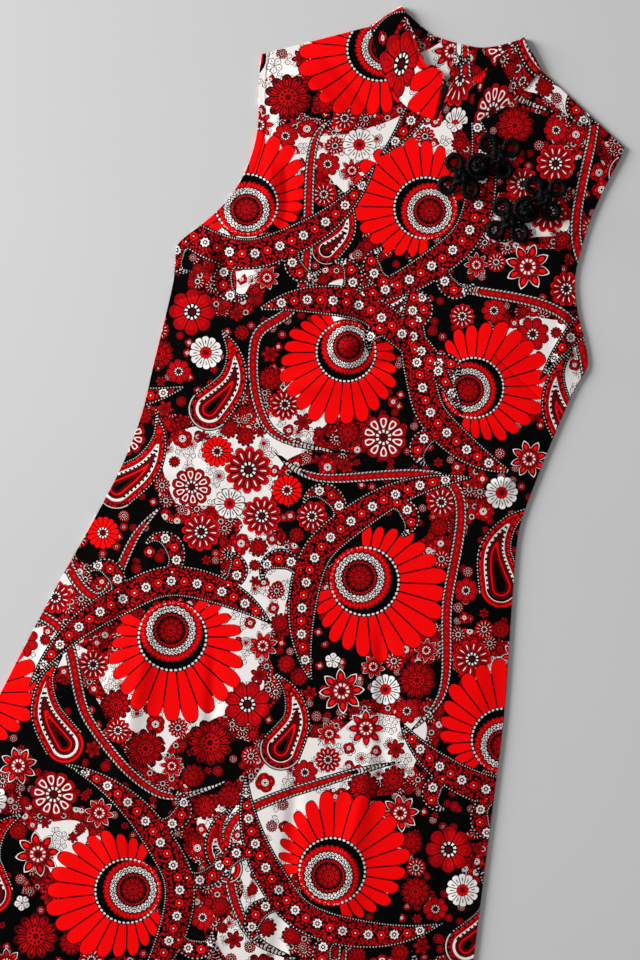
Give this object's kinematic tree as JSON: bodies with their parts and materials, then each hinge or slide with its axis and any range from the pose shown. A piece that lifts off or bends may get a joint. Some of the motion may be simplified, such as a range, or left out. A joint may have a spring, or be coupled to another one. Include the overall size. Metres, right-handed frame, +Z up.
{
  "type": "cheongsam dress laid flat",
  "caption": "Sleeveless cheongsam shift laid flat on its back, with a split stand collar, bust darts, an A-line skirt and cord frogs with ball knots.",
  "frame": {"origin": "middle of the garment's footprint, on the surface that it lies on", "axes": "+Z up from the surface, +Y from the hem towards the collar, +X to the right as the dress is seen from above"},
  "size_m": [0.6412, 1.1782, 0.0167],
  "materials": {
    "printed_cloth": "smooth polyester knit, printed in scarlet, dark red, black and white",
    "zip_tape": "woven polyester tape",
    "frog_cord": "black satin-covered cord"
  },
  "bodies": {
    "root": {"front": "printed_cloth", "back_left": "printed_cloth", "back_right": "printed_cloth", "back_zip": "zip_tape", "collar_left": "printed_cloth", "collar_right": "printed_cloth", "upper_frog_left": "frog_cord", "upper_frog_right": "frog_cord", "upper_frog_knot": "frog_cord", "lower_frog_left": "frog_cord", "lower_frog_right": "frog_cord", "lower_frog_knot": "frog_cord"}
  },
  "joints": []
}
